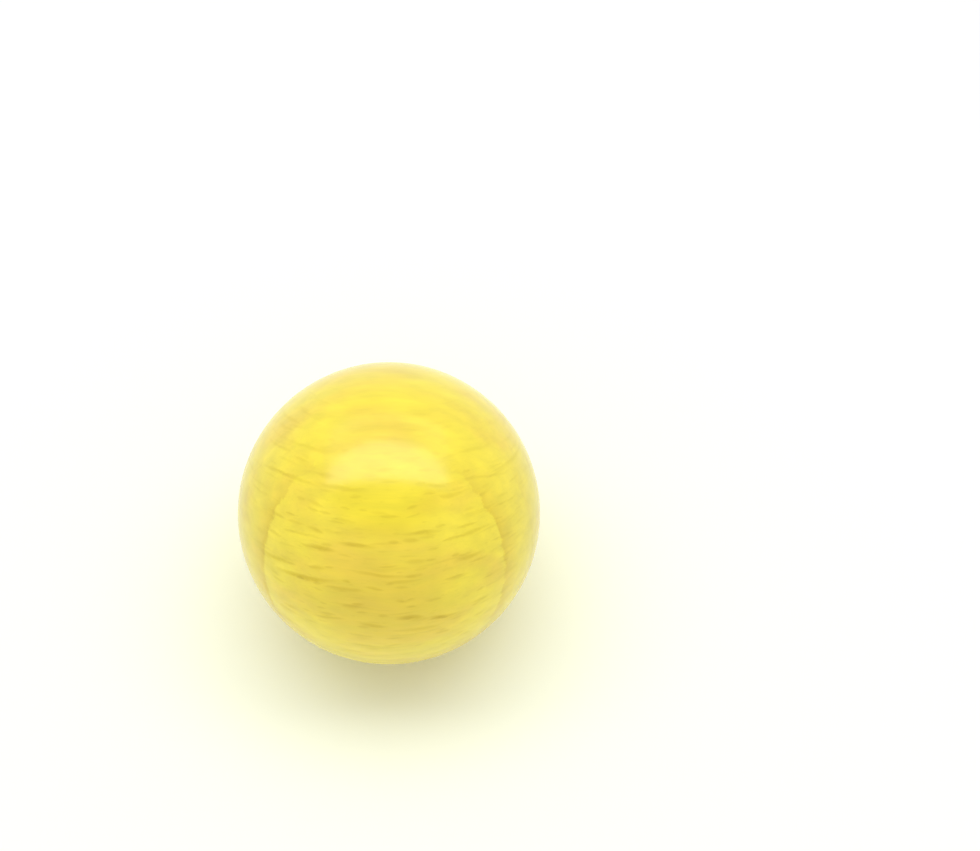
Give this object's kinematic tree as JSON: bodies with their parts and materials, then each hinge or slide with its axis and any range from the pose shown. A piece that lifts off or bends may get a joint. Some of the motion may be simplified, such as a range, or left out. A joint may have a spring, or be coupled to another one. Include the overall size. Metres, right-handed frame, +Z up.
{
  "type": "wooden ball",
  "caption": "Solid turned beech ball, stained yellow under a clear lacquer, undrilled, for glueing on, seating in a cup or rolling loose.",
  "frame": {"origin": "centre of the ball", "axes": "+Z up as the ball lies in the picture, +X to the picture's right and along the grain of the wood, +Y away from the camera"},
  "size_m": [0.03, 0.03, 0.03],
  "materials": {
    "stained_beech": "satin"
  },
  "bodies": {
    "root": {"ball": "stained_beech"}
  },
  "joints": []
}
